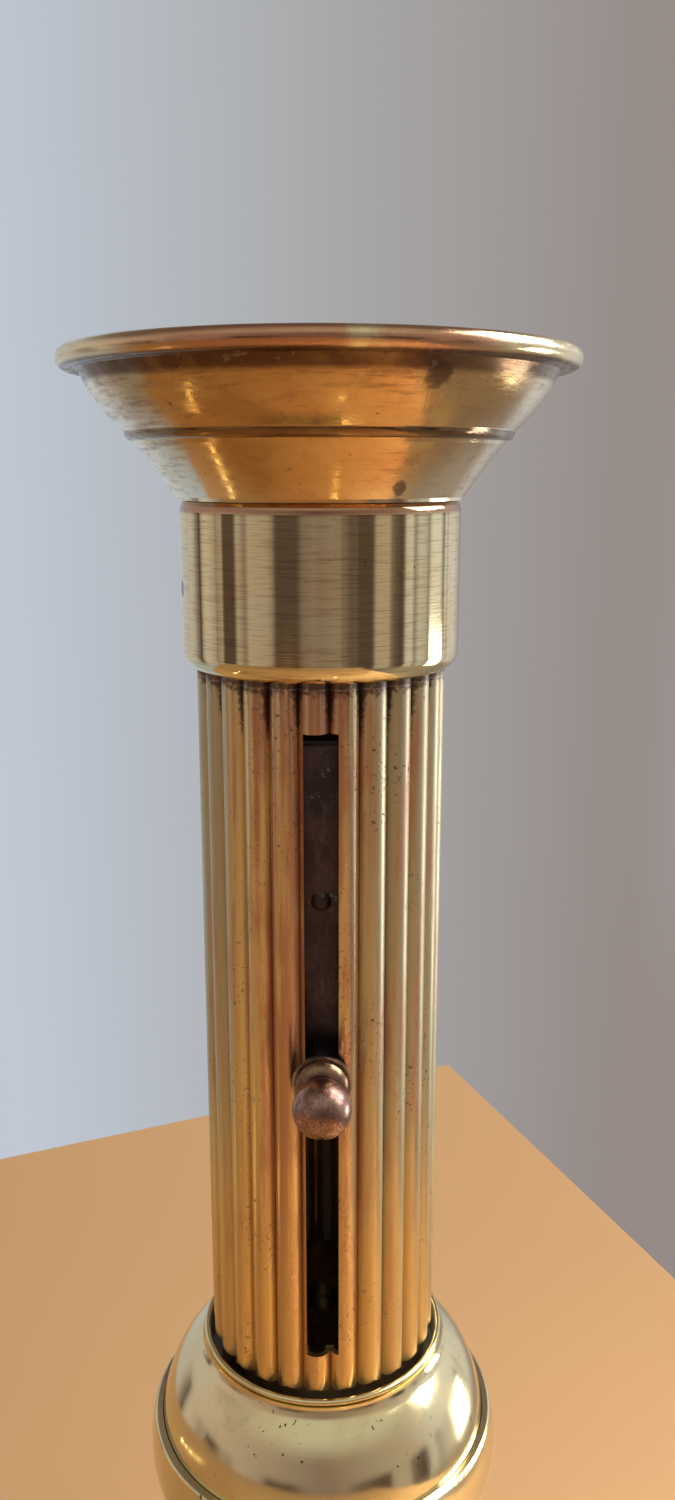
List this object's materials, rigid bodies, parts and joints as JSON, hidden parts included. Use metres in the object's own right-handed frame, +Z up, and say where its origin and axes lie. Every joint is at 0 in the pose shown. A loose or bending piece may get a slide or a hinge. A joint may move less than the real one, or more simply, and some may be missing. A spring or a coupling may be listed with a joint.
{
  "type": "candle lantern",
  "caption": "Brass candle lantern: reeded column on a round weighted foot, flared lift-off gallery, and a candle socket raised by a small knob in a slot.",
  "frame": {"origin": "on the table under the middle of the foot", "axes": "+Z up along the column, -Y to the front, where the slot and the knob are"},
  "size_m": [0.092, 0.092, 0.2204],
  "materials": {
    "polished_brass": "aged polished brass, pale yellow-green",
    "gallery_brass": "polished brass with tarnish bands under the rim",
    "brushed_brass": "satin brass, fine turning marks round the sleeve",
    "reeded_brass": "aged brass, dark patina in the valleys between the reeds",
    "inner_brass": "dull unpolished brass",
    "dark_spring": "dark brown oxidised strip",
    "knob_bronze": "brown patinated knob, worn bright in places",
    "washer_bronze": "brown bronze with a worn grey edge",
    "steel": "plain steel",
    "ballast_iron": "rough cast iron"
  },
  "bodies": {
    "stand": {"foot_shell": "polished_brass", "waist_ring": "polished_brass", "bulb_shell": "polished_brass", "base_dome": "polished_brass", "column_cup": "polished_brass", "column_tube": "reeded_brass", "column_spigot": "inner_brass", "base_plate": "inner_brass", "tie_rod": "steel", "tie_nut": "steel", "tie_washer": "steel", "foot_ballast": "ballast_iron"},
    "slider": {"candle_socket": "inner_brass", "socket_floor": "inner_brass", "guide_ring_top": "inner_brass", "guide_ring_bottom": "inner_brass", "friction_spring": "dark_spring", "spring_rivet": "dark_spring", "slider_stud": "steel", "knob_washer": "washer_bronze", "knob": "knob_bronze"},
    "gallery": {"gallery_cup": "gallery_brass", "collar_sleeve": "brushed_brass", "gallery_ferrule": "inner_brass"}
  },
  "joints": [
    {"name": "candle_slide", "type": "slide", "parent": "stand", "child": "slider", "axis": [0, 0, 1], "range_m": [-0.0386, 0.0428]},
    {"name": "gallery_lift", "type": "slide", "parent": "stand", "child": "gallery", "axis": [0, 0, 1], "range_m": [0, 0.03]}
  ]
}
